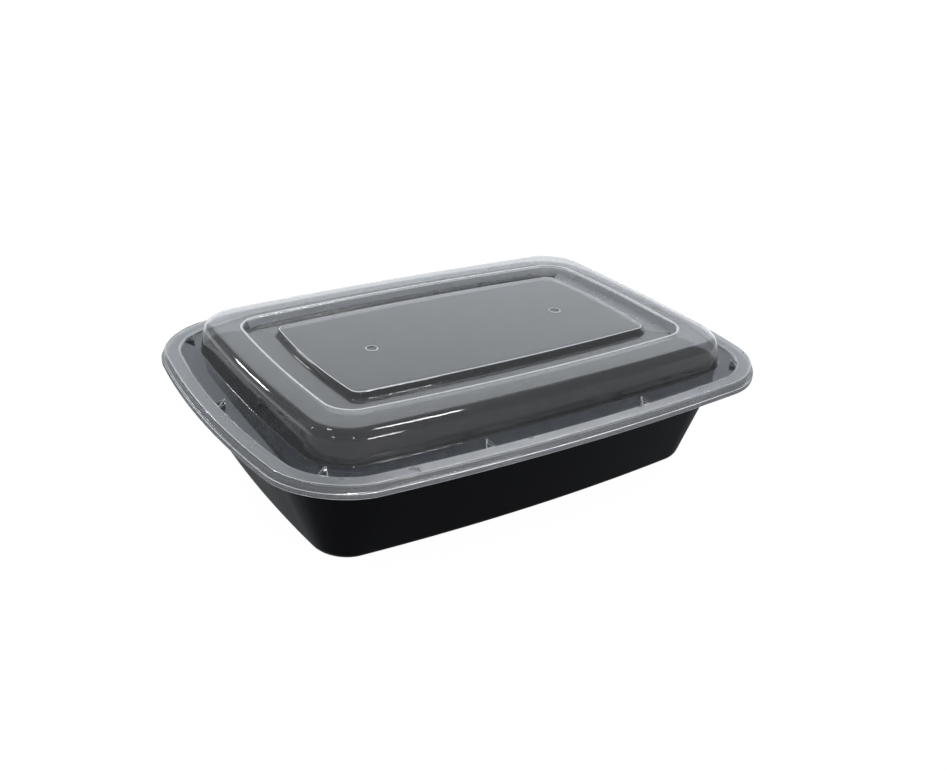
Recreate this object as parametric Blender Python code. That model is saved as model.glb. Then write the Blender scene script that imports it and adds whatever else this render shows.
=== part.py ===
"""Rectangular takeaway meal container, shut: a black tray and a clear press-on domed lid.

All sizes are in millimetres and heights are counted up from the tray's underside.
The long side runs along X and the part stands on z = 0.
"""
import bpy
import bmesh
from math import cos, pi, radians, sin

MM = 0.001

# An outline is half length, half width, corner radius, bow of the ends and bow of the sides.
RIM = (101.8, 71.3, 23.1, 7.6, 5.5)
DOME = (91.5, 60.0, 15.5, 3.0, 3.3)
MOAT = (78.6, 43.7, 9.0, 2.2, 3.2)
PANEL = (66.1, 32.1, 2.9, 2.2, 1.8)
WALL = (96.0, 62.7, 28.7, 5.6, 4.4)
BASE = (77.7, 42.5, 5.2, 1.9, 3.8)
CORNER_STEPS = 12
LONG_STEPS = 9
SHORT_STEPS = 7

RIM_TOP = 46.6
SHEET = 0.6
GAP = 0.3

# Tray
BASE_FILLET = 8.6
BASE_FILLET_STEPS = 5
WALL_LEAN = 20.0
WALL_TOP = RIM_TOP - 4.4
FLANGE_TOP = RIM_TOP - SHEET - GAP
LEDGE_TOP = RIM_TOP - 2.5
TURNED_EDGE_BOTTOM = RIM_TOP - 5.4
FLANGE_OUTER = -0.95
FLANGE_INNER = -4.0

# Lid
SKIRT_BOTTOM = RIM_TOP - 4.4
SKIRT_FLARE = 1.3
SKIRT_STEP = RIM_TOP - 2.5
RIDGE_HEIGHT = 0.15
RIM_WIDTH = 5.0
CHANNEL_FLOOR = RIM_TOP - 0.9
DOME_TOP = RIM_TOP + 10.8
DOME_FILLET = 4.4
DOME_FILLET_STEPS = 4
DOME_INSET = 5.7
DOME_DRAFT = 9.0
MOAT_FLOOR = RIM_TOP + 7.9
PANEL_TOP = RIM_TOP + 10.4

# Locating lugs on the rim's inner edge
LUG_WIDTH = 3.8
LUG_TIP_WIDTH = 0.6
LUG_REACH = 3.3
LUG_TOP = RIM_TOP - 0.1
LUG_TIP_TOP = RIM_TOP + 1.7
LUG_ROOT = 0.35
SIDE_LUG_X = 35.0
CORNER_LUG_ANGLE = 42.0

# Round closed dimples in the lid's panel
DIMPLE_X = 43.3
DIMPLE_Y = -1.9
DIMPLE_RADIUS = 1.95
DIMPLE_WALL = 0.35
DIMPLE_DEPTH = 0.4
DIMPLE_LIP = 0.14
DIMPLE_STEPS = 16

TRAY_COLOUR = (0.0065, 0.007, 0.008, 1.0)
LID_COLOUR = (0.80, 0.82, 0.84, 0.35)


def clear_scene():
    for item in list(bpy.data.objects):
        bpy.data.objects.remove(item, do_unlink=True)


def collection(name):
    group = bpy.data.collections.new(name)
    bpy.context.scene.collection.children.link(group)
    return group


def plastic(name, colour, roughness):
    made = bpy.data.materials.new(name)
    made.use_nodes = True
    made.diffuse_color = colour
    shader = made.node_tree.nodes["Principled BSDF"]
    shader.inputs["Base Color"].default_value = colour
    shader.inputs["Roughness"].default_value = roughness
    shader.inputs["Metallic"].default_value = 0.0
    shader.inputs["Alpha"].default_value = colour[3]
    return made


def outline(shape, grow, height):
    """Points of a rounded rectangle with bowed sides, grown outward, at one height."""
    half_x, half_y, radius, bow_x, bow_y = shape
    half_x, half_y, radius = half_x + grow, half_y + grow, max(radius + grow, 0.4)
    cx, cy = half_x - radius, half_y - radius
    corners = ((cx, cy, 0), (-cx, cy, 90), (-cx, -cy, 180), (cx, -cy, 270))
    flat = []
    for index, (x, y, start) in enumerate(corners):
        for step in range(CORNER_STEPS + 1):
            angle = radians(start + 90 * step / CORNER_STEPS)
            flat.append((x + radius * cos(angle), y + radius * sin(angle)))
        next_x, next_y, next_start = corners[(index + 1) % 4]
        angle = radians(next_start)
        end = (next_x + radius * cos(angle), next_y + radius * sin(angle))
        begin = flat[-1]
        steps = LONG_STEPS if index % 2 == 0 else SHORT_STEPS
        for step in range(1, steps):
            t = step / steps
            flat.append((begin[0] + (end[0] - begin[0]) * t, begin[1] + (end[1] - begin[1]) * t))
    ring = []
    for x, y in flat:
        out_x = bow_x * x / half_x * max(0.0, 1 - (y / half_y) ** 2)
        out_y = bow_y * y / half_y * max(0.0, 1 - (x / half_x) ** 2)
        ring.append(((x + out_x) * MM, (y + out_y) * MM, height * MM))
    return ring


def fillet(shape, middle, radius, height, first, last, steps):
    """Rings round a quarter bend whose centre is at the given growth and height."""
    rings = []
    for step in range(steps + 1):
        angle = radians(first + (last - first) * step / steps)
        rings.append((shape, middle + radius * cos(angle), height + radius * sin(angle)))
    return rings


def loft(name, rings, material, group):
    """Closed body through rings that start and end on a flat cap."""
    mesh = bmesh.new()
    rows = [[mesh.verts.new(p) for p in outline(*ring)] for ring in rings]
    count = len(rows[0])
    for low, high in zip(rows, rows[1:]):
        for i in range(count):
            j = (i + 1) % count
            mesh.faces.new((low[i], low[j], high[j], high[i]))
    mesh.faces.new(rows[0])
    mesh.faces.new(rows[-1])
    bmesh.ops.recalc_face_normals(mesh, faces=mesh.faces)
    data = bpy.data.meshes.new(name)
    mesh.to_mesh(data)
    mesh.free()
    data.materials.append(material)
    body = bpy.data.objects.new(name, data)
    group.objects.link(body)
    return body


def tray_rings():
    """From the underside's middle out to the turned edge and back in to the floor."""
    inner_fillet = BASE_FILLET - SHEET
    rings = fillet(BASE, 0.0, BASE_FILLET, BASE_FILLET, -90, -WALL_LEAN, BASE_FILLET_STEPS)
    rings += [
        (WALL, 0.0, WALL_TOP),
        (WALL, 0.6, LEDGE_TOP - SHEET),
        (RIM, FLANGE_INNER + 0.3, LEDGE_TOP - SHEET),
        (RIM, FLANGE_INNER + SHEET, LEDGE_TOP - 0.3),
        (RIM, FLANGE_INNER + SHEET, FLANGE_TOP - SHEET),
        (RIM, FLANGE_OUTER - SHEET, FLANGE_TOP - SHEET),
        (RIM, -0.5, TURNED_EDGE_BOTTOM),
        (RIM, 0.1, TURNED_EDGE_BOTTOM),
        (RIM, FLANGE_OUTER + 0.05, FLANGE_TOP - 0.35),
        (RIM, FLANGE_OUTER - 0.25, FLANGE_TOP),
        (RIM, FLANGE_INNER + 0.25, FLANGE_TOP),
        (RIM, FLANGE_INNER, FLANGE_TOP - 0.25),
        (RIM, FLANGE_INNER, LEDGE_TOP + 0.25),
        (RIM, FLANGE_INNER - 0.25, LEDGE_TOP),
        (WALL, 0.3, LEDGE_TOP),
        (WALL, -0.3, LEDGE_TOP - 0.6),
        (WALL, -0.64, WALL_TOP),
    ]
    rings += fillet(BASE, 0.0, inner_fillet, BASE_FILLET, -WALL_LEAN, -90, BASE_FILLET_STEPS)
    return rings


def lid_rings():
    """From the panel's middle out over the dome and rim to the skirt and back inside."""
    outer = [
        (PANEL, 0.1, PANEL_TOP),
        (PANEL, 0.85, PANEL_TOP - 0.5),
        (PANEL, 1.5, MOAT_FLOOR + 0.5),
        (PANEL, 2.3, MOAT_FLOOR),
        (MOAT, -2.1, MOAT_FLOOR),
        (MOAT, -1.3, MOAT_FLOOR + 0.45),
        (MOAT, -0.6, DOME_TOP - 0.45),
        (MOAT, 0.2, DOME_TOP),
    ]
    height = DOME_TOP - DOME_FILLET
    outer += fillet(DOME, -DOME_INSET, DOME_FILLET, height, 90, DOME_DRAFT, DOME_FILLET_STEPS)
    outer += [
        (DOME, -0.1, CHANNEL_FLOOR + 0.5),
        (DOME, 0.08, CHANNEL_FLOOR + 0.15),
        (DOME, 0.5, CHANNEL_FLOOR),
        (RIM, -RIM_WIDTH - 0.9, CHANNEL_FLOOR),
        (RIM, -RIM_WIDTH - 0.6, CHANNEL_FLOOR + 0.25),
        (RIM, -RIM_WIDTH - 0.15, RIM_TOP - 0.2),
        (RIM, -RIM_WIDTH + 0.25, RIM_TOP),
        (RIM, -0.6, RIM_TOP),
        (RIM, -0.15, RIM_TOP + RIDGE_HEIGHT),
        (RIM, 0.15, RIM_TOP - 0.05),
        (RIM, 0.4, RIM_TOP - 0.8),
        (RIM, 0.6, SKIRT_STEP + 0.4),
        (RIM, SKIRT_FLARE - 0.1, SKIRT_STEP),
        (RIM, SKIRT_FLARE, SKIRT_BOTTOM),
    ]
    inner = [
        (RIM, SKIRT_FLARE - SHEET, SKIRT_BOTTOM),
        (RIM, SKIRT_FLARE - 0.1 - SHEET, SKIRT_STEP - 0.4),
        (RIM, 0.0, SKIRT_STEP + 0.1),
        (RIM, -0.25, RIM_TOP - 0.9),
        (RIM, -0.8, RIM_TOP - SHEET),
        (RIM, -RIM_WIDTH + 0.6, RIM_TOP - SHEET),
        (RIM, -RIM_WIDTH + 0.3, RIM_TOP - 0.7),
        (RIM, -RIM_WIDTH - 0.2, CHANNEL_FLOOR - 0.3),
        (RIM, -RIM_WIDTH - 0.5, CHANNEL_FLOOR - SHEET),
        (DOME, 0.2, CHANNEL_FLOOR - SHEET),
        (DOME, -0.55, CHANNEL_FLOOR - 0.3),
        (DOME, -0.7, CHANNEL_FLOOR + 0.4),
    ]
    radius = DOME_FILLET - SHEET
    inner += fillet(DOME, -DOME_INSET, radius, height, DOME_DRAFT, 90, DOME_FILLET_STEPS)
    inner += [
        (MOAT, 0.6, DOME_TOP - SHEET),
        (MOAT, 0.0, DOME_TOP - SHEET - 0.25),
        (MOAT, -0.75, MOAT_FLOOR + 0.1),
        (MOAT, -1.9, MOAT_FLOOR - SHEET),
        (PANEL, 2.1, MOAT_FLOOR - SHEET),
        (PANEL, 0.95, MOAT_FLOOR + 0.1),
        (PANEL, 0.25, PANEL_TOP - SHEET - 0.2),
        (PANEL, -0.3, PANEL_TOP - SHEET),
    ]
    return outer + inner


def rim_edge_point(x, y):
    """Point on the rim's inner edge in the direction of x, y, and its outward normal."""
    ring = outline(RIM, -RIM_WIDTH, 0.0)
    count = len(ring)
    best = min(range(count), key=lambda i: (ring[i][0] / MM - x) ** 2 + (ring[i][1] / MM - y) ** 2)
    ahead, behind = ring[(best + 1) % count], ring[best - 1]
    along = (ahead[0] - behind[0], ahead[1] - behind[1])
    size = (along[0] ** 2 + along[1] ** 2) ** 0.5
    normal = (along[1] / size, -along[0] / size)
    centre = (ring[best][0] / MM, ring[best][1] / MM)
    offset = (x - centre[0]) * along[0] / size + (y - centre[1]) * along[1] / size
    return centre[0] + offset * along[0] / size, centre[1] + offset * along[1] / size, normal


def lug_places():
    """Two lugs on each long side, one on each end and one in each corner."""
    half_x, half_y, radius, bow_x, bow_y = RIM
    end_x = half_x + bow_x - RIM_WIDTH
    side_y = half_y + bow_y - RIM_WIDTH
    places = [(x * SIDE_LUG_X, y * side_y) for x in (-1, 1) for y in (-1, 1)]
    places += [(-end_x, 0.0), (end_x, 0.0)]
    reach = radius - RIM_WIDTH
    corner_x = half_x - radius + reach * cos(radians(CORNER_LUG_ANGLE)) + 1.5
    corner_y = half_y - radius + reach * sin(radians(CORNER_LUG_ANGLE)) + 1.5
    places += [(x * corner_x, y * corner_y) for x in (-1, 1) for y in (-1, 1)]
    return places


def lug(name, place, group):
    """Tapered wedge that stands in the channel against the rim's inner wall."""
    x, y, (nx, ny) = rim_edge_point(*place)
    tx, ty = -ny, nx
    floor = CHANNEL_FLOOR - SHEET / 2
    mesh = bmesh.new()
    bmesh.ops.create_cube(mesh, size=1.0)
    for vert in mesh.verts:
        outer = vert.co.x > 0
        reach = LUG_ROOT if outer else -LUG_REACH
        half = (LUG_WIDTH if outer else LUG_TIP_WIDTH) / 2
        side = half if vert.co.y > 0 else -half
        top = LUG_TOP if outer else LUG_TIP_TOP
        height = top if vert.co.z > 0 else floor
        vert.co = ((x + nx * reach + tx * side) * MM, (y + ny * reach + ty * side) * MM, height * MM)
    bmesh.ops.recalc_face_normals(mesh, faces=mesh.faces)
    return cutter(name, mesh, group)


def cutter(name, mesh, group):
    data = bpy.data.meshes.new(name)
    mesh.to_mesh(data)
    mesh.free()
    tool = bpy.data.objects.new(name, data)
    tool.hide_render = True
    tool.display_type = "WIRE"
    group.objects.link(tool)
    return tool


def disc(name, x, radius, low, high, group):
    mesh = bmesh.new()
    bmesh.ops.create_cone(
        mesh, cap_ends=True, segments=DIMPLE_STEPS,
        radius1=radius * MM, radius2=radius * MM, depth=(high - low) * MM,
    )
    bmesh.ops.translate(mesh, verts=mesh.verts, vec=(x * MM, DIMPLE_Y * MM, (low + high) / 2 * MM))
    return cutter(name, mesh, group)


def boolean(body, tool, operation):
    step = body.modifiers.new(tool.name, "BOOLEAN")
    step.object = tool
    step.operation = operation
    step.solver = "EXACT"


def add_lugs(lid, group):
    for index, place in enumerate(lug_places()):
        boolean(lid, lug(f"lug_{index}", place, group), "UNION")


def add_dimples(lid, group):
    """Two shallow hollows with a fine lip; the sheet runs on closed below them."""
    for index, x in enumerate((-DIMPLE_X, DIMPLE_X)):
        wide, low = DIMPLE_RADIUS + DIMPLE_WALL, PANEL_TOP - DIMPLE_DEPTH
        boss = disc(f"dimple_boss_{index}", x, wide, low - SHEET, PANEL_TOP + DIMPLE_LIP, group)
        boolean(lid, boss, "UNION")
        hollow = disc(f"dimple_hollow_{index}", x, DIMPLE_RADIUS, low, PANEL_TOP + 1.0, group)
        boolean(lid, hollow, "DIFFERENCE")


def build():
    clear_scene()
    parts = collection("takeaway_meal_container")
    tools = collection("cutters")
    loft("tray", tray_rings(), plastic("tray_plastic", TRAY_COLOUR, 0.3), parts)
    lid = loft("lid", lid_rings(), plastic("lid_plastic", LID_COLOUR, 0.15), parts)
    add_lugs(lid, tools)
    add_dimples(lid, tools)


build()
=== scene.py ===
"""Takeaway meal container: a black tray with a clear press-on domed lid, on a white studio table.

The outlines and sections are in millimetres, like the part's source, and repeat its named values, so the
skins lie on its solids. Properties, meshes and the stage are in metres.
"""

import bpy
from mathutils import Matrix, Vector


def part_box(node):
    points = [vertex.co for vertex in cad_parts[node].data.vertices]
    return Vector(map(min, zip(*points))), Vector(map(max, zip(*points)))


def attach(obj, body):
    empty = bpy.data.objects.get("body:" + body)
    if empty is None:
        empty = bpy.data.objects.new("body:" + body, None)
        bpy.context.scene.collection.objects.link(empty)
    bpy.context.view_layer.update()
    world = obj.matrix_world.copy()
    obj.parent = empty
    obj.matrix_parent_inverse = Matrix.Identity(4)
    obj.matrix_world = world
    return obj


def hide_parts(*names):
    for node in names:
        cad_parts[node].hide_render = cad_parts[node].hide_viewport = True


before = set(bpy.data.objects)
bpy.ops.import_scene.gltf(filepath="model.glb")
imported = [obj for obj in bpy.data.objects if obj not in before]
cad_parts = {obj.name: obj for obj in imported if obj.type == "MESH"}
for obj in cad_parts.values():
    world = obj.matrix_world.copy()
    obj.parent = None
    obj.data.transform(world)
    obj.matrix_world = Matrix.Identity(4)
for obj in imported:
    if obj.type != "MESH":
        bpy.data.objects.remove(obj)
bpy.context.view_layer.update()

import bpy
import bmesh
from math import cos, pi, radians, sin, tan
from mathutils import Matrix, Vector
from bpy.props import FloatProperty, PointerProperty, StringProperty

bl_info = {
    "name": "Takeaway meal container",
    "version": (1, 0, 0),
    "blender": (4, 5, 0),
    "location": "View3D > Sidebar > Container",
    "description": "Builds a shut takeaway container: moulded black tray and clear domed lid",
    "category": "Object",
}

MM = 0.001
DOME_RISE = 10.8 * MM
RIM_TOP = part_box("lid")[1].z - DOME_RISE
TABLE_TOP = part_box("tray")[0].z - 0.1 * MM

# Outlines: half length, half width, corner radius, bow of the ends, bow of the long sides.
RIM = (101.8, 71.3, 23.1, 7.6, 5.5)
DOME = (91.5, 60.0, 15.5, 3.0, 3.3)
MOAT = (78.6, 43.7, 9.0, 2.2, 3.2)
PANEL = (66.1, 32.1, 2.9, 2.2, 1.8)
WALL = (96.0, 62.7, 28.7, 5.6, 4.4)
BASE = (77.7, 42.5, 5.2, 1.9, 3.8)
CORNER_STEPS = 28
LONG_STEPS = 40
SHORT_STEPS = 28

# Depths below the rim's top, or below the dome's for the panel, in millimetres.
LEDGE_DROP = 2.5
TURNED_EDGE_DROP = 5.4
SKIRT_DROP = 4.4
CHANNEL_DROP = 0.9
PANEL_DROP = 0.4
# Gap of the press fit, bend of the tray's base, lean of its wall in degrees, and width of the flat rim.
PRESS_GAP = 0.3
BASE_BEND = 8.6
WALL_LEAN = 20.0
RIM_WIDTH = 5.0

# Lugs in the channel: half width at the rim and at the tip, length, rise of the tip above the rim.
LUG_HALF = 1.9
LUG_TIP_HALF = 0.3
LUG_REACH = 3.3
LUG_RISE = 1.7
LUG_SIDE_X = 35.0
LUG_CORNER_ANGLE = 42.0
LUG_CORNER_SHIFT = 1.5

# Grip ribs: step of their middles out from the rim's outline, length, and radius as a share of how
# far they stand out, because their middles lie under the skirt's surface.
RIB_OUT = 1.22
RIB_LENGTH = 1.5
RIB_SHARE = 1.4

# Dimples in the panel: places, height of the lip, depth of the middle.
DIMPLE_PLACES = ((-43.3, -1.9), (43.3, -1.9))
DIMPLE_LIP = 0.14
DIMPLE_DEPTH = 0.31
DIMPLE_STEPS = 40


# Properties


class ContainerSizes(bpy.types.PropertyGroup):
    """Sizes that a user would change."""

    rim_top: FloatProperty(
        name="Rim height", description="Height of the lid's flat rim above the table",
        default=RIM_TOP, min=0.0, unit="LENGTH",
    )
    sheet: FloatProperty(
        name="Sheet", description="Thickness of the moulded sheet",
        default=0.6 * MM, min=0.0, unit="LENGTH",
    )
    dome_rise: FloatProperty(
        name="Dome rise", description="Height of the dome's top above the rim",
        default=DOME_RISE, min=0.0, unit="LENGTH",
    )
    moat_depth: FloatProperty(
        name="Moat depth", description="Depth of the groove round the raised panel",
        default=2.9 * MM, min=0.0, unit="LENGTH",
    )
    rib_pitch: FloatProperty(
        name="Rib pitch", description="Distance between the fine grip ribs on the skirt",
        default=0.72 * MM, min=0.0, unit="LENGTH",
    )
    rib_proud: FloatProperty(
        name="Rib height", description="How far the grip ribs stand out of the skirt",
        default=0.08 * MM, min=0.0, unit="LENGTH",
    )
    dimple_radius: FloatProperty(
        name="Dimple radius", description="Radius of the two round dimples in the panel",
        default=2.2 * MM, min=0.0, unit="LENGTH",
    )


class ContainerColours(bpy.types.PropertyGroup):
    """Colours as sRGB hex values."""

    tray: StringProperty(
        name="Tray", description="Colour of the black polypropylene", default="08080A"
    )
    lid: StringProperty(
        name="Lid", description="Tint of the clarified polypropylene", default="E7E7E8"
    )
    satin: StringProperty(
        name="Satin rim", description="Colour of the satin rim, skirt and ribs", default="DDE0E4"
    )
    # Painted shade: the dark tint of the channel's floor stands in for the dimmer reflection it gets
    # beside the dome's wall.
    shade: StringProperty(
        name="Channel shade", description="Tint of the plastic over the dark channel", default="6E7684"
    )
    # Painted highlight: white of the milky lines along bends, lug edges and dimple lips.
    highlight_edges: StringProperty(
        name="Painted highlight edge", description="Colour of the milky edges", default="EDEFF2"
    )
    table: StringProperty(name="Table", description="Colour of the studio table", default="777777")


class ContainerStage(bpy.types.PropertyGroup):
    """Camera and light."""

    azimuth: FloatProperty(
        name="Camera azimuth", description="Turn of the camera from the front",
        default=radians(-35.01), subtype="ANGLE",
    )
    elevation: FloatProperty(
        name="Camera elevation", description="Tilt of the camera above the horizon",
        default=radians(26.11), subtype="ANGLE",
    )
    roll: FloatProperty(
        name="Camera roll", description="Roll of the camera about its axis",
        default=radians(3.52), subtype="ANGLE",
    )
    lens: FloatProperty(
        name="Lens", description="Focal length on a 36 mm wide sensor, in millimetres",
        default=40.77, min=1.0,
    )
    key_power: FloatProperty(
        name="Lamp strength", description="Strength of the small studio lamps",
        default=1.0, min=0.0,
    )


# Small helpers


def linear(hex_value):
    """sRGB hex text to a linear colour."""
    parts = [int(hex_value[i : i + 2], 16) / 255 for i in (0, 2, 4)]
    return tuple(c / 12.92 if c <= 0.04045 else ((c + 0.055) / 1.055) ** 2.4 for c in parts) + (1.0,)


def grow(tree, kind, links=None, **settings):
    """Adds one node with its settings, input values and incoming links."""
    node = tree.nodes.new(kind)
    for name, value in settings.items():
        setattr(node, name, value)
    for socket, value in (links or {}).items():
        if isinstance(value, bpy.types.NodeSocket):
            tree.links.new(value, node.inputs[socket])
        else:
            node.inputs[socket].default_value = value
    return node


def new_material(name):
    """An empty material and its node tree."""
    made = bpy.data.materials.new(name)
    made.use_nodes = True
    made.node_tree.nodes.clear()
    return made, made.node_tree


def new_object(name, data):
    """Object that holds the data, linked to the scene."""
    made = bpy.data.objects.new(name, data)
    bpy.context.scene.collection.objects.link(made)
    return made


def add_piece(name, data, finishes):
    """Object of a mesh with its materials, riding on the one body."""
    for finish in finishes:
        data.materials.append(finish)
    piece = new_object(name, data)
    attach(piece, "root")
    return piece


def mesh_data(mesh, name):
    """Mesh data from a bmesh, which is freed."""
    data = bpy.data.meshes.new(name)
    mesh.to_mesh(data)
    mesh.free()
    return data


# Sections


def outline(shape, out, height):
    """Points in millimetres of a rounded rectangle with bowed sides at one height."""
    half_x, half_y, radius, bow_x, bow_y = shape
    half_x, half_y, radius = half_x + out, half_y + out, max(radius + out, 0.3)
    cx, cy = half_x - radius, half_y - radius
    corners = ((cx, cy, 0), (-cx, cy, 90), (-cx, -cy, 180), (cx, -cy, 270))
    flat = []
    for index, (x, y, start) in enumerate(corners):
        for step in range(CORNER_STEPS + 1):
            angle = radians(start + 90 * step / CORNER_STEPS)
            flat.append((x + radius * cos(angle), y + radius * sin(angle)))
        next_x, next_y, next_start = corners[(index + 1) % 4]
        angle = radians(next_start)
        end = (next_x + radius * cos(angle), next_y + radius * sin(angle))
        begin = flat[-1]
        steps = LONG_STEPS if index % 2 == 0 else SHORT_STEPS
        for step in range(1, steps):
            t = step / steps
            flat.append((begin[0] + (end[0] - begin[0]) * t, begin[1] + (end[1] - begin[1]) * t))
    ring = []
    for x, y in flat:
        out_x = bow_x * x / half_x * max(0.0, 1 - (y / half_y) ** 2)
        out_y = bow_y * y / half_y * max(0.0, 1 - (x / half_x) ** 2)
        ring.append(Vector((x + out_x, y + out_y, height)))
    return ring


def bend(before, corner, after, radius, steps):
    """Points of a tangent arc that rounds one corner of a section."""
    to_before, to_after = before - corner, after - corner
    length_before, length_after = to_before.length, to_after.length
    to_before.normalize()
    to_after.normalize()
    half = to_before.angle(to_after, pi) / 2
    if radius <= 0 or half > radians(89.5):
        return [corner.copy() for _ in range(steps + 1)]
    reach = min(radius / tan(half), 0.48 * length_before, 0.48 * length_after)
    radius = reach * tan(half)
    middle = corner + (to_before + to_after).normalized() * (radius / sin(half))
    start, end = corner + to_before * reach - middle, corner + to_after * reach - middle
    sweep = start.angle(end)
    points = []
    for step in range(steps + 1):
        t = step / steps
        a, b = sin((1 - t) * sweep) / sin(sweep), sin(t * sweep) / sin(sweep)
        points.append(middle + start * a + end * b)
    return points


def section_rings(corners):
    """Rings of a shell from its section: each corner is outline, growth, height, radius, steps."""
    rows = [outline(shape, out, height) for shape, out, height, _, _ in corners]
    rings = []
    for index, (_, _, _, radius, steps) in enumerate(corners):
        if steps == 0:
            rings.append(rows[index])
            continue
        before, after = rows[index - 1], rows[index + 1]
        arcs = [bend(a, b, c, radius, steps) for a, b, c in zip(before, rows[index], after)]
        rings += [[arc[step] for arc in arcs] for step in range(steps + 1)]
    return rings


def loft(mesh, rings, material_of=None):
    """Skins a bmesh through rings of equal length and returns the rows of vertices."""
    rows = [[mesh.verts.new(point * MM) for point in ring] for ring in rings]
    count = len(rows[0])
    for index, (low, high) in enumerate(zip(rows, rows[1:])):
        for i in range(count):
            j = (i + 1) % count
            face = mesh.faces.new((low[i], low[j], high[j], high[i]))
            if material_of:
                face.material_index = material_of(index, low[i].co)
    return rows


def finish_mesh(mesh, name):
    """Turns faces outward, shades them smooth and returns mesh data."""
    bmesh.ops.recalc_face_normals(mesh, faces=mesh.faces)
    for face in mesh.faces:
        face.smooth = True
    return mesh_data(mesh, name)


def tray_section(sizes):
    """From the underside's middle out to the turned edge and back in to the floor."""
    rim, sheet = sizes.rim_top / MM, sizes.sheet / MM
    ledge, edge, flange = rim - LEDGE_DROP, rim - TURNED_EDGE_DROP, rim - sheet - PRESS_GAP
    reach = tan(radians(45 - WALL_LEAN / 2))
    return [
        (BASE, -3.0, 0.0, 0, 0),
        (BASE, BASE_BEND * reach, 0.0, BASE_BEND, 14),
        (WALL, 0.55, ledge - sheet, 1.4, 5),
        (RIM, -3.4, ledge - sheet, 0.4, 3),
        (RIM, -3.4, flange - sheet, 0.3, 3),
        (RIM, -1.55, flange - sheet, 0.3, 3),
        (RIM, -0.5, edge, 0.12, 2),
        (RIM, 0.1, edge, 0.25, 4),
        (RIM, -0.95, flange, 0.5, 5),
        (RIM, -4.0, flange, 0.35, 4),
        (RIM, -4.0, ledge, 0.35, 4),
        (WALL, -0.1, ledge, 1.2, 5),
        (BASE, (BASE_BEND - sheet) * reach, sheet, BASE_BEND - sheet, 14),
        (BASE, -3.0, sheet, 0, 0),
    ]


# Finishes of the lid's sheet, in the order of its material slots.
CLEAR, SATIN, PAINTED_HIGHLIGHT, RIM_VEIL_AND_MOAT_LIGHT, PAINTED_SHADE = range(5)
# Finish of each bend, by the number of its corner in the lid's section. Any other bend is clear.
# Milky bends are white lines painted as highlights.
BEND_FINISH = {
    1: PAINTED_HIGHLIGHT, 4: PAINTED_HIGHLIGHT, 9: PAINTED_HIGHLIGHT, 10: RIM_VEIL_AND_MOAT_LIGHT, 11: PAINTED_HIGHLIGHT, 12: SATIN, 13: SATIN, 14: PAINTED_HIGHLIGHT, 15: PAINTED_HIGHLIGHT,
}
# Begin and end of the finish along a bend that it doesn't fill.
EDGE_LINES = {1: (0.0, 0.35), 4: (0.6, 1.0)}
# Finish of the strip that follows each corner. Any other strip is clear.
# Milky strips are white lines painted as highlights.
STRIP_FINISH = {
    # Strip 7, the channel's floor, carries painted shade.
    4: PAINTED_HIGHLIGHT, 7: PAINTED_SHADE, 8: PAINTED_HIGHLIGHT, 9: RIM_VEIL_AND_MOAT_LIGHT, 10: RIM_VEIL_AND_MOAT_LIGHT, 12: SATIN, 13: SATIN, 14: SATIN, 15: SATIN,
}
# The moat's two floor bends and what follows them are veiled behind, past a y and an x, and on the
# right, past an x and a y: painted light that makes the far moat lighter, in place of the bright
# reflection there.
MOAT_CORNERS = (2, 3)
PAINTED_LIGHT_BEHIND = (38.0 * MM, -74.0 * MM)
PAINTED_LIGHT_BESIDE = (68.0 * MM, -45.0 * MM)


def lid_section(sizes):
    """From the panel's middle out over dome and rim to the skirt and back on the inside."""
    rim, sheet = sizes.rim_top / MM, sizes.sheet / MM
    dome = rim + sizes.dome_rise / MM
    moat = dome - sizes.moat_depth / MM
    panel, channel = dome - PANEL_DROP, rim - CHANNEL_DROP
    step, skirt = rim - LEDGE_DROP, rim - SKIRT_DROP
    return [
        (PANEL, -3.0, panel, 0, 0),
        (PANEL, 0.6, panel, 1.0, 8),
        (PANEL, 1.75, moat, 1.0, 8),
        (MOAT, -1.5, moat, 0.9, 8),
        (MOAT, -0.4, dome, 0.9, 8),
        (MOAT, 0.75, dome, 0, 0),
        (DOME, -1.9, dome, 4.4, 18),
        (DOME, -0.1, channel, 0.5, 6),
        (RIM, -5.75, channel, 0.5, 5),
        (RIM, -RIM_WIDTH, rim, 0.45, 6),
        (RIM, -0.75, rim, 0.3, 4),
        (RIM, -0.2, rim + 0.22, 0.25, 5),
        (RIM, 0.25, rim - 0.2, 0.4, 5),
        (RIM, 0.5, step + 0.35, 0.3, 4),
        (RIM, 1.2, step, 0.2, 4),
        (RIM, 1.3, skirt, 0.14, 4),
        (RIM, 0.7, skirt, 0.14, 4),
        (RIM, 0.52, step - 0.45, 0.2, 3),
        (RIM, 0.0, step, 0.2, 3),
        (RIM, -0.3, rim - sheet, 0.4, 4),
        (RIM, -4.4, rim - sheet, 0.3, 4),
        (RIM, -5.15, channel - sheet, 0.6, 4),
        (DOME, -0.61, channel - sheet, 1.1, 6),
        (DOME, -2.41, dome - sheet, 3.8, 18),
        (MOAT, 0.05, dome - sheet, 0.5, 6),
        (MOAT, -1.05, moat - sheet, 1.3, 7),
        (PANEL, 1.3, moat - sheet, 1.3, 7),
        (PANEL, 0.15, panel - sheet, 0.5, 6),
        (PANEL, -3.0, panel - sheet, 0, 0),
    ]


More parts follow.
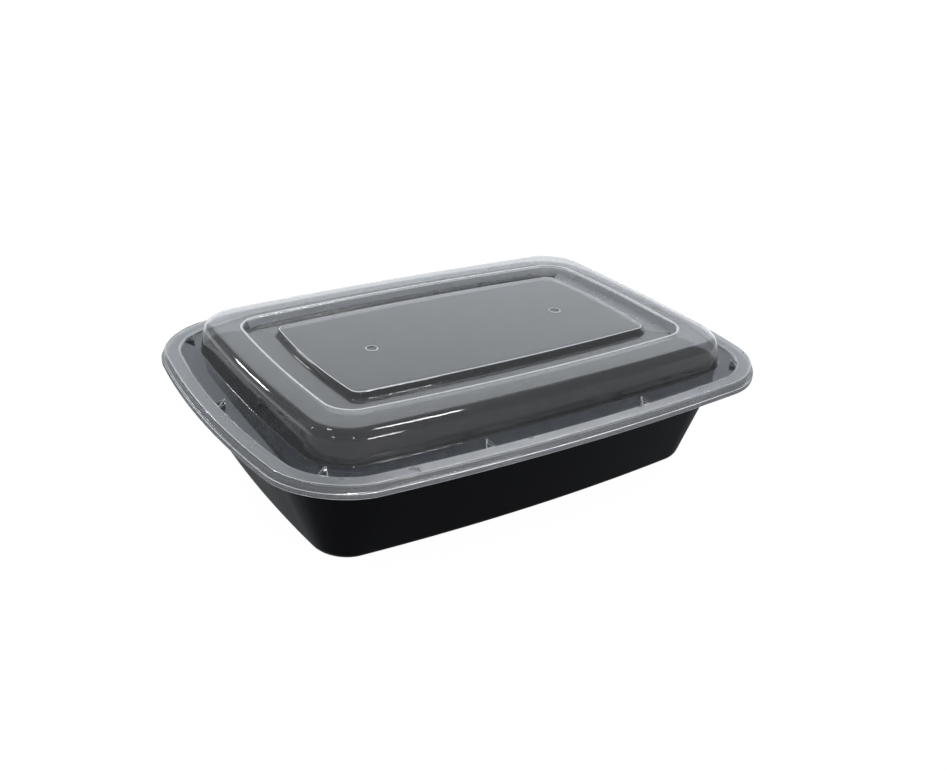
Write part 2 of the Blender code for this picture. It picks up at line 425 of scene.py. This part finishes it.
def dimple(mesh, place, sizes):
    """Shallow round dimple in the panel's top: returns its outer ring of vertices."""
    panel = (sizes.rim_top + sizes.dome_rise) / MM - PANEL_DROP
    wide = sizes.dimple_radius / MM
    section = (
        (wide + 0.6, 0.0), (wide + 0.35, 0.0), (wide + 0.22, 0.03), (wide + 0.1, 0.11),
        (wide, DIMPLE_LIP), (wide - 0.1, 0.1), (wide - 0.17, 0.0), (wide - 0.25, -0.16),
        (wide - 0.35, -0.25), (wide - 0.55, -0.3), (wide - 0.85, -DIMPLE_DEPTH), (0.3, -DIMPLE_DEPTH),
    )
    rows = []
    for radius, drop in section:
        ring = []
        for step in range(DIMPLE_STEPS):
            angle = 2 * pi * step / DIMPLE_STEPS
            x, y = place[0] + radius * cos(angle), place[1] + radius * sin(angle)
            ring.append(mesh.verts.new(Vector((x, y, panel + drop)) * MM))
        rows.append(ring)
    for index, (low, high) in enumerate(zip(rows, rows[1:])):
        for i in range(DIMPLE_STEPS):
            j = (i + 1) % DIMPLE_STEPS
            face = mesh.faces.new((low[i], low[j], high[j], high[i]))
            # The lip's ring is milky: a highlight painted round the dimple.
            face.material_index = PAINTED_HIGHLIGHT if 1 <= index <= 5 else CLEAR
    mesh.faces.new(rows[-1])
    return rows[0]


def loop_edges(mesh, ring):
    """The edges of a closed ring of vertices, made where they are missing."""
    edges = []
    for i, vert in enumerate(ring):
        pair = (vert, ring[(i + 1) % len(ring)])
        edges.append(mesh.edges.get(pair) or mesh.edges.new(pair))
    return edges


# Materials


def cells(width):
    """Scale of a noise whose cells are so many millimetres wide."""
    return 1 / (width * MM)


def black_polypropylene(colours):
    """Black polypropylene, injection moulded: even soft gloss over a faint fine grain."""
    made, tree = new_material("black_polypropylene_moulded")
    place = grow(tree, "ShaderNodeTexCoord").outputs["Object"]
    cloud = grow(tree, "ShaderNodeTexNoise", {"Vector": place, "Scale": cells(22.2), "Detail": 3.0})
    grain = grow(tree, "ShaderNodeTexNoise", {"Vector": place, "Scale": cells(0.455), "Detail": 2.0})
    gloss = grow(
        tree, "ShaderNodeMapRange",
        {"Value": cloud.outputs["Fac"], "From Min": 0.3, "From Max": 0.7, "To Min": 0.28, "To Max": 0.36},
    )
    relief = grow(
        tree, "ShaderNodeBump", {"Height": grain.outputs["Fac"], "Strength": 0.12, "Distance": 0.00004}
    )
    shader = grow(
        tree, "ShaderNodeBsdfPrincipled",
        {"Base Color": linear(colours.tray), "Roughness": gloss.outputs["Result"], "IOR": 1.49,
         "Specular IOR Level": 0.35, "Normal": relief.outputs["Normal"]},
    )
    grow(tree, "ShaderNodeOutputMaterial", {"Surface": shader.outputs["BSDF"]})
    return made


def clear_polypropylene(colours):
    """Clarified polypropylene, thermoformed: clear, with a trace of haze and slow ripples."""
    made, tree = new_material("clarified_polypropylene_formed")
    place = grow(tree, "ShaderNodeTexCoord").outputs["Object"]
    ripple = grow(tree, "ShaderNodeTexNoise", {"Vector": place, "Scale": cells(35.7), "Detail": 1.0})
    cloud = grow(tree, "ShaderNodeTexNoise", {"Vector": place, "Scale": cells(16.7), "Detail": 4.0})
    gloss = grow(
        tree, "ShaderNodeMapRange",
        {"Value": cloud.outputs["Fac"], "From Min": 0.3, "From Max": 0.7, "To Min": 0.02, "To Max": 0.05},
    )
    relief = grow(
        tree, "ShaderNodeBump", {"Height": ripple.outputs["Fac"], "Strength": 0.1, "Distance": 0.00001}
    )
    shader = grow(
        tree, "ShaderNodeBsdfPrincipled",
        {"Base Color": linear(colours.lid), "Roughness": gloss.outputs["Result"], "IOR": 1.49,
         "Transmission Weight": 0.965, "Normal": relief.outputs["Normal"]},
    )
    grow(tree, "ShaderNodeOutputMaterial", {"Surface": shader.outputs["BSDF"]})
    return made


def sheet_finish(name, tint, width, smooth, rough, surface):
    """A finish of the lid's sheet, whose roughness wanders over clouds of one width in millimetres."""
    made, tree = new_material(name)
    place = grow(tree, "ShaderNodeTexCoord").outputs["Object"]
    cloud = grow(tree, "ShaderNodeTexNoise", {"Vector": place, "Scale": cells(width), "Detail": 3.0})
    gloss = grow(
        tree, "ShaderNodeMapRange",
        {"Value": cloud.outputs["Fac"], "From Min": 0.3, "From Max": 0.7,
         "To Min": smooth, "To Max": rough},
    )
    shader = grow(
        tree, "ShaderNodeBsdfPrincipled",
        {"Base Color": linear(tint), "Roughness": gloss.outputs["Result"], "IOR": 1.49, **surface},
    )
    grow(tree, "ShaderNodeOutputMaterial", {"Surface": shader.outputs["BSDF"]})
    return made


def satin_polypropylene(colours):
    """The same sheet on the rim, satin from the mould: a thin milky veil over the tray's flange."""
    surface = {"Transmission Weight": 0.82}
    return sheet_finish("satin_polypropylene_rim", colours.satin, 8.3, 0.12, 0.2, surface)


def veiled_rim_and_moat_light(colours):
    """The rim's flat top: a fine matt veil that takes the light and hides the tray. On the far moat the
    same veil is painted light that makes it lighter.
    """
    surface = {"Specular IOR Level": 0.25, "Transmission Weight": 0.7}
    return sheet_finish("veiled_rim_and_painted_moat_light", colours.satin, 11.1, 0.25, 0.35, surface)


def painted_shade_polypropylene(colours):
    """The channel's floor: clear, with a dark tint in its colour as painted shade, in place of the dimmer
    reflection the channel gets beside the dome's wall.
    """
    surface = {"Specular IOR Level": 0.15, "Transmission Weight": 0.965}
    return sheet_finish("painted_shade_polypropylene_channel", colours.shade, 11.1, 0.02, 0.05, surface)


def painted_highlight_polypropylene(colours):
    """The same sheet, milky along bends and edges, where it scatters the light behind it: white lines
    painted as highlights, in place of the glints these bends catch.
    """
    surface = {"Transmission Weight": 0.15}
    return sheet_finish("painted_highlight_polypropylene_edge", colours.highlight_edges, 4.17, 0.25, 0.4, surface)


# The lid's materials and their makers, in the order of its slots.
LID_FINISHES = (
    ("clarified_polypropylene_formed", clear_polypropylene),
    ("satin_polypropylene_rim", satin_polypropylene),
    ("painted_highlight_polypropylene_edge", painted_highlight_polypropylene),
    ("veiled_rim_and_painted_moat_light", veiled_rim_and_moat_light),
    ("painted_shade_polypropylene_channel", painted_shade_polypropylene),
)


def material(name, maker):
    """The named material, made when it is first asked for."""
    return bpy.data.materials.get(name) or maker(bpy.context.scene.container_colours)


# Pieces


class CONTAINER_OT_tray(bpy.types.Operator):
    """Builds the black tray with its tapered walls, ledge and turned rim"""

    bl_idname = "container.tray"
    bl_label = "Tray"

    def execute(self, context):
        mesh = bmesh.new()
        rows = loft(mesh, section_rings(tray_section(context.scene.container_sizes)))
        mesh.faces.new(rows[0])
        mesh.faces.new(rows[-1])
        made = material("black_polypropylene_moulded", black_polypropylene)
        tray = add_piece("tray_shell", finish_mesh(mesh, "tray_shell"), [made])
        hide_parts("tray")
        return {"FINISHED"}


class CONTAINER_OT_lid(bpy.types.Operator):
    """Builds the clear lid: panel with two dimples, moat, dome, channel, rim and skirt"""

    bl_idname = "container.lid"
    bl_label = "Lid"

    def execute(self, context):
        sizes = context.scene.container_sizes
        section = lid_section(sizes)
        owner = [index for index, corner in enumerate(section) for _ in range(corner[4] + 1)]

        def finish(ring, spot):
            corner = owner[ring]
            behind = spot.y > PAINTED_LIGHT_BEHIND[0] and spot.x > PAINTED_LIGHT_BEHIND[1]
            beside = spot.x > PAINTED_LIGHT_BESIDE[0] and spot.y > PAINTED_LIGHT_BESIDE[1]
            # Painted light: behind and on the right the moat takes the veil, so it shows lighter there.
            if corner in MOAT_CORNERS and (behind or beside):
                return RIM_VEIL_AND_MOAT_LIGHT
            if owner[ring + 1] != corner:
                return STRIP_FINISH.get(corner, CLEAR)
            along = (ring - owner.index(corner)) / section[corner][4]
            begin, end = EDGE_LINES.get(corner, (0.0, 1.0))
            return BEND_FINISH.get(corner, CLEAR) if begin <= along < end else CLEAR

        mesh = bmesh.new()
        rows = loft(mesh, section_rings(section), finish)
        edges = loop_edges(mesh, rows[0])
        for place in DIMPLE_PLACES:
            edges += loop_edges(mesh, dimple(mesh, place, sizes))
        bmesh.ops.triangle_fill(mesh, use_beauty=True, edges=edges, normal=(0, 0, 1))
        mesh.faces.new(rows[-1])
        finishes = [material(name, maker) for name, maker in LID_FINISHES]
        lid = add_piece("lid_shell", finish_mesh(mesh, "lid_shell"), finishes)
        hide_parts("lid")
        return {"FINISHED"}


def rim_edge_point(x, y):
    """Point of the rim's inner edge nearest to a place, with the way out and the way along."""
    ring = outline(RIM, -RIM_WIDTH, 0.0)
    index = min(range(len(ring)), key=lambda i: (ring[i].x - x) ** 2 + (ring[i].y - y) ** 2)
    along = (ring[(index + 1) % len(ring)] - ring[index - 1]).normalized()
    spot = ring[index] + along * along.dot(Vector((x, y, 0)) - ring[index])
    return spot, Vector((along.y, -along.x, 0)), along


def lug_places():
    """Two lugs on each long side, one on each end and one in each corner."""
    half_x, half_y, radius, bow_x, bow_y = RIM
    places = [(x * LUG_SIDE_X, y * (half_y + bow_y - RIM_WIDTH)) for x in (-1, 1) for y in (-1, 1)]
    places += [(x * (half_x + bow_x - RIM_WIDTH), 0.0) for x in (-1, 1)]
    reach = radius - RIM_WIDTH
    corner_x = half_x - radius + reach * cos(radians(LUG_CORNER_ANGLE)) + LUG_CORNER_SHIFT
    corner_y = half_y - radius + reach * sin(radians(LUG_CORNER_ANGLE)) + LUG_CORNER_SHIFT
    return places + [(x * corner_x, y * corner_y) for x in (-1, 1) for y in (-1, 1)]


class CONTAINER_OT_lugs(bpy.types.Operator):
    """Stands the small wedge lugs in the channel against the rim"""

    bl_idname = "container.lugs"
    bl_label = "Channel lugs"

    def execute(self, context):
        rim = context.scene.container_sizes.rim_top / MM
        floor = rim - CHANNEL_DROP - 0.05
        mesh = bmesh.new()
        for place in lug_places():
            spot, outward, along = rim_edge_point(*place)
            for vert in bmesh.ops.create_cube(mesh, size=1.0)["verts"]:
                outer, left, top = vert.co.x > 0, vert.co.y > 0, vert.co.z > 0
                half = (LUG_HALF if outer else LUG_TIP_HALF) * (1 if left else -1)
                height = ((rim - 0.1) if outer else (rim + LUG_RISE)) if top else floor
                point = spot + outward * (0.0 if outer else -LUG_REACH) + along * half
                vert.co = Vector((point.x, point.y, height)) * MM
        bmesh.ops.recalc_face_normals(mesh, faces=mesh.faces)
        # The bevels take the milky finish: outlines painted as highlights round each lug.
        bmesh.ops.bevel(
            mesh, geom=mesh.edges[:], offset=0.2 * MM, segments=3, profile=0.5, affect="EDGES",
            clamp_overlap=True, material=1,
        )
        clear = material("clarified_polypropylene_formed", clear_polypropylene)
        highlight_edges = material("painted_highlight_polypropylene_edge", painted_highlight_polypropylene)
        lugs = add_piece("channel_lugs", finish_mesh(mesh, "channel_lugs"), [clear, highlight_edges])
        return {"FINISHED"}


def rib_tree():
    """Upright ribs at an even pitch along a closed path."""
    tree = bpy.data.node_groups.new("grip_ribs", "GeometryNodeTree")
    face = tree.interface
    face.new_socket("Geometry", in_out="INPUT", socket_type="NodeSocketGeometry")
    for name in ("Pitch", "Radius", "Height"):
        face.new_socket(name, in_out="INPUT", socket_type="NodeSocketFloat")
    face.new_socket("Material", in_out="INPUT", socket_type="NodeSocketMaterial")
    face.new_socket("Geometry", in_out="OUTPUT", socket_type="NodeSocketGeometry")
    given = grow(tree, "NodeGroupInput")
    path = grow(tree, "GeometryNodeMeshToCurve", {"Mesh": given.outputs["Geometry"]})
    even = grow(
        tree, "GeometryNodeResampleCurve",
        {"Curve": path.outputs["Curve"], "Length": given.outputs["Pitch"]}, mode="LENGTH",
    )
    rib = grow(
        tree, "GeometryNodeMeshCylinder",
        {"Vertices": 6, "Radius": given.outputs["Radius"], "Depth": given.outputs["Height"]},
    )
    along = grow(tree, "GeometryNodeInputTangent")
    turn = grow(
        tree, "FunctionNodeAlignRotationToVector", {"Vector": along.outputs["Tangent"]},
        axis="X", pivot_axis="Z",
    )
    stand = grow(
        tree, "GeometryNodeInstanceOnPoints",
        {"Points": even.outputs["Curve"], "Instance": rib.outputs["Mesh"],
         "Rotation": turn.outputs["Rotation"]},
    )
    real = grow(tree, "GeometryNodeRealizeInstances", {"Geometry": stand.outputs["Instances"]})
    dress = grow(
        tree, "GeometryNodeSetMaterial",
        {"Geometry": real.outputs["Geometry"], "Material": given.outputs["Material"]},
    )
    grow(tree, "NodeGroupOutput", {"Geometry": dress.outputs["Geometry"]})
    return tree


def set_inputs(modifier, values):
    """Sets a Geometry Nodes modifier's inputs by their sockets' identifiers."""
    for item in modifier.node_group.interface.items_tree:
        if item.item_type == "SOCKET" and item.in_out == "INPUT" and item.name in values:
            modifier[item.identifier] = values[item.name]


class CONTAINER_OT_ribs(bpy.types.Operator):
    """Stands fine grip ribs round the lid's skirt"""

    bl_idname = "container.ribs"
    bl_label = "Grip ribs"

    def execute(self, context):
        sizes = context.scene.container_sizes
        middle = sizes.rim_top / MM - (LEDGE_DROP + SKIRT_DROP) / 2
        mesh = bmesh.new()
        loop_edges(mesh, [mesh.verts.new(point * MM) for point in outline(RIM, RIB_OUT, middle)])
        path = new_object("rib_path", mesh_data(mesh, "rib_path"))
        satin = material("satin_polypropylene_rim", satin_polypropylene)
        nodes = path.modifiers.new("grip_ribs", "NODES")
        nodes.node_group = rib_tree()
        set_inputs(nodes, {
            "Pitch": sizes.rib_pitch, "Radius": sizes.rib_proud * RIB_SHARE, "Height": RIB_LENGTH * MM,
            "Material": satin,
        })
        shown = path.evaluated_get(context.evaluated_depsgraph_get())
        ribs = bpy.data.meshes.new_from_object(shown)
        bpy.data.objects.remove(path)
        for polygon in ribs.polygons:
            polygon.use_smooth = True
        piece = add_piece("skirt_ribs", ribs, [])
        return {"FINISHED"}


# Stage


# The pieces that the lamps shine on; the black tray is lit by the room alone.
CLEAR_PIECES = ("lid_shell", "channel_lugs", "skirt_ribs")
# Spots that the lamps face: the dome's front left side and corner, and the table under the front rim.
DOME_SIDE, DOME_CORNER = (-0.057, -0.062, 0.056), (-0.085, -0.052, 0.056)
RIM_FRONT, ABOVE_RIM = (-0.014, -0.079, 0.0), (-0.014, -0.079, 0.45)
# Lamps: place, what it faces, its long way, size in metres, power in watts, spread in degrees.
LAMPS = {
    "strip_right": ((0.61, -0.36, 1.46), DOME_SIDE, (1, 0, 0), (0.2, 0.18), 4.5, 180),
    "strip_back": ((-0.7, 1.33, 0.69), DOME_SIDE, (0, 1, 0), (0.17, 0.14), 2.2, 180),
    "rim_strip": (ABOVE_RIM, RIM_FRONT, (1, 0, 0), (0.16, 0.008), 0.0075, 4),
}
# Small square lamps whose glints lie on the rounded front left corner of the dome.
SPARKLE_PLACES = (
    (-0.98, 0.716, 0.991), (-0.229, 0.523, 1.435), (-1.184, -0.616, 0.909), (-0.399, -1.213, 0.957),
    (0.42, -1.45, 0.3),
)
LAMPS |= {
    f"sparkle_{number}": (place, DOME_CORNER, (0, 0, 1), (0.12, 0.12), 1.4, 180)
    for number, place in enumerate(SPARKLE_PLACES)
}

# Camera: distance from the middle of the rim's plane, and steps to the right and up, in metres.
CAMERA_AWAY, CAMERA_RIGHT, CAMERA_UP = 0.43379, 0.00443, -0.01498


def studio_lamp(name, place, target, along, size, power, spread):
    """Rectangular lamp that faces its target and shines on the clear pieces only."""
    facing = (Vector(place) - Vector(target)).normalized()
    side = (Vector(along) - facing * facing.dot(Vector(along))).normalized()
    lamp = bpy.data.lights.new(name, "AREA")
    lamp.shape = "RECTANGLE"
    lamp.size, lamp.size_y = size
    lamp.spread = radians(spread)
    lamp.energy = power
    item = new_object(name, lamp)
    turn = Matrix((side, facing.cross(side), facing)).transposed().to_4x4()
    item.matrix_world = Matrix.Translation(place) @ turn
    item.light_linking.receiver_collection = bpy.data.collections["clear_pieces"]


def table_acrylic(colours):
    """Backlit white acrylic: an even field that stays white around the piece."""
    made, tree = new_material("backlit_white_acrylic")
    shader = grow(
        tree, "ShaderNodeBsdfPrincipled",
        {"Base Color": linear(colours.table), "Roughness": 0.9, "Specular IOR Level": 0.0,
         "Emission Color": (1, 1, 1, 1), "Emission Strength": 0.97},
    )
    grow(tree, "ShaderNodeOutputMaterial", {"Surface": shader.outputs["BSDF"]})
    return made


# Soft steps of light over the directions of the room: axis, begin, end, level before and after.
STUDIO_STEPS = {
    "far": ("Y", 0.15, 0.5, 0.0, 1.0),
    "cloth_top": ("Z", 0.5, 0.68, 1.2, 0.0),
    "cloth_side": ("X", -0.22, 0.08, 0.0, 1.0),
    "cloth_foot": ("Z", -0.3, -0.1, 0.0, 1.0),
    "sweep_top": ("Z", 0.05, 0.2, 1.0, 0.0),
    "sweep_foot": ("Z", -0.22, -0.1, 0.0, 1.0),
    "gleam": ("Z", -0.5, -0.38, 0.23, 0.0),
    "walls": ("Z", -0.2, 0.1, 0.16, 0.38),
    "floor": ("Z", -0.82, -0.62, 0.35, 1.0),
}
STUDIO_MIX = (
    ("cloth_band", "MULTIPLY", "cloth_top", "cloth_side"),
    ("cloth", "MULTIPLY", "cloth_band", "cloth_foot"),
    ("sweep", "MULTIPLY", "sweep_top", "sweep_foot"),
    ("backdrop", "MAXIMUM", "cloth", "sweep"),
    ("backdrop", "MAXIMUM", "backdrop", "gleam"),
    ("lit", "MULTIPLY", "backdrop", "far"),
    ("room", "MULTIPLY", "walls", "floor"),
    ("level", "MAXIMUM", "lit", "room"),
)


def studio_world():
    """Dim studio with a lit backdrop behind the table and a bright sweep along the horizon."""
    world = bpy.data.worlds.new("studio_backdrop")
    world.use_nodes = True
    tree = world.node_tree
    tree.nodes.clear()
    way = grow(tree, "ShaderNodeTexCoord").outputs["Generated"]
    axis = grow(tree, "ShaderNodeSeparateXYZ", {"Vector": way}).outputs
    light = {}
    for name, (direction, begin, end, low, high) in STUDIO_STEPS.items():
        light[name] = grow(
            tree, "ShaderNodeMapRange",
            {"Value": axis[direction], "From Min": begin, "From Max": end, "To Min": low, "To Max": high},
            interpolation_type="SMOOTHSTEP",
        ).outputs["Result"]
    for name, operation, first, second in STUDIO_MIX:
        sums = grow(tree, "ShaderNodeMath", {0: light[first], 1: light[second]}, operation=operation)
        light[name] = sums.outputs["Value"]
    tent = grow(tree, "ShaderNodeBackground", {"Color": (0.9, 0.95, 1.0, 1), "Strength": light["level"]})
    grow(tree, "ShaderNodeOutputWorld", {"Surface": tent.outputs["Background"]})
    return world


class CONTAINER_OT_stage(bpy.types.Operator):
    """Sets the white table, the studio light and the camera"""

    bl_idname = "container.stage"
    bl_label = "Stage"

    def execute(self, context):
        scene, stage = context.scene, context.scene.container_stage
        mesh = bmesh.new()
        bmesh.ops.create_circle(mesh, cap_ends=True, segments=96, radius=6.0)
        bmesh.ops.translate(mesh, verts=mesh.verts, vec=(0, 0, TABLE_TOP))
        table = new_object("table", mesh_data(mesh, "table"))
        table.data.materials.append(material("backlit_white_acrylic", table_acrylic))
        table.visible_glossy = False
        scene.world = studio_world()
        clear_pieces = bpy.data.collections.new("clear_pieces")
        for piece in CLEAR_PIECES:
            clear_pieces.objects.link(bpy.data.objects[piece])
        for name, (place, target, along, size, power, spread) in LAMPS.items():
            studio_lamp(name, place, target, along, size, power * stage.key_power, spread)
        scene.view_settings.view_transform = "Standard"
        self.set_camera(context, stage)
        return {"FINISHED"}

    def set_camera(self, context, stage):
        """Places the camera at the photo's angle, rolled about its own axis"""
        azimuth, elevation, roll = stage.azimuth, stage.elevation, stage.roll
        away = Vector((sin(azimuth) * cos(elevation), -cos(azimuth) * cos(elevation), sin(elevation)))
        right = Vector((cos(azimuth), sin(azimuth), 0))
        up = away.cross(right)
        right, up = cos(roll) * right + sin(roll) * up, cos(roll) * up - sin(roll) * right
        rim = Vector((0, 0, context.scene.container_sizes.rim_top))
        lens = bpy.data.cameras.new("photo_camera")
        lens.lens = stage.lens
        lens.sensor_width = 36
        lens.clip_start = 0.01
        camera = new_object("photo_camera", lens)
        turn = Matrix((right, up, away)).transposed().to_4x4()
        eye = rim + away * CAMERA_AWAY + right * CAMERA_RIGHT + up * CAMERA_UP
        camera.matrix_world = Matrix.Translation(eye) @ turn
        context.scene.camera = camera


class CONTAINER_PT_panel(bpy.types.Panel):
    """Lists the sizes, colours and build steps"""

    bl_idname = "CONTAINER_PT_panel"
    bl_label = "Takeaway container"
    bl_space_type = "VIEW_3D"
    bl_region_type = "UI"
    bl_category = "Container"

    def draw(self, context):
        layout = self.layout
        scene = context.scene
        for group in (scene.container_sizes, scene.container_colours, scene.container_stage):
            box = layout.box()
            for name in group.__annotations__:
                box.prop(group, name)
        for operator in STEPS:
            layout.operator(operator.bl_idname)


STEPS = (CONTAINER_OT_tray, CONTAINER_OT_lid, CONTAINER_OT_lugs, CONTAINER_OT_ribs, CONTAINER_OT_stage)
GROUPS = (ContainerSizes, ContainerColours, ContainerStage)


def register():
    """Registers the sizes, operators and panel."""
    for item in GROUPS + STEPS + (CONTAINER_PT_panel,):
        bpy.utils.register_class(item)
    bpy.types.Scene.container_sizes = PointerProperty(type=ContainerSizes)
    bpy.types.Scene.container_colours = PointerProperty(type=ContainerColours)
    bpy.types.Scene.container_stage = PointerProperty(type=ContainerStage)


def unregister():
    """Takes them out again."""
    del bpy.types.Scene.container_stage
    del bpy.types.Scene.container_colours
    del bpy.types.Scene.container_sizes
    for item in reversed(GROUPS + STEPS + (CONTAINER_PT_panel,)):
        bpy.utils.unregister_class(item)


def main():
    """Builds every piece, then the stage."""
    register()
    bpy.ops.container.tray()
    bpy.ops.container.lid()
    bpy.ops.container.lugs()
    bpy.ops.container.ribs()
    bpy.ops.container.stage()


if __name__ == "__main__":
    main()
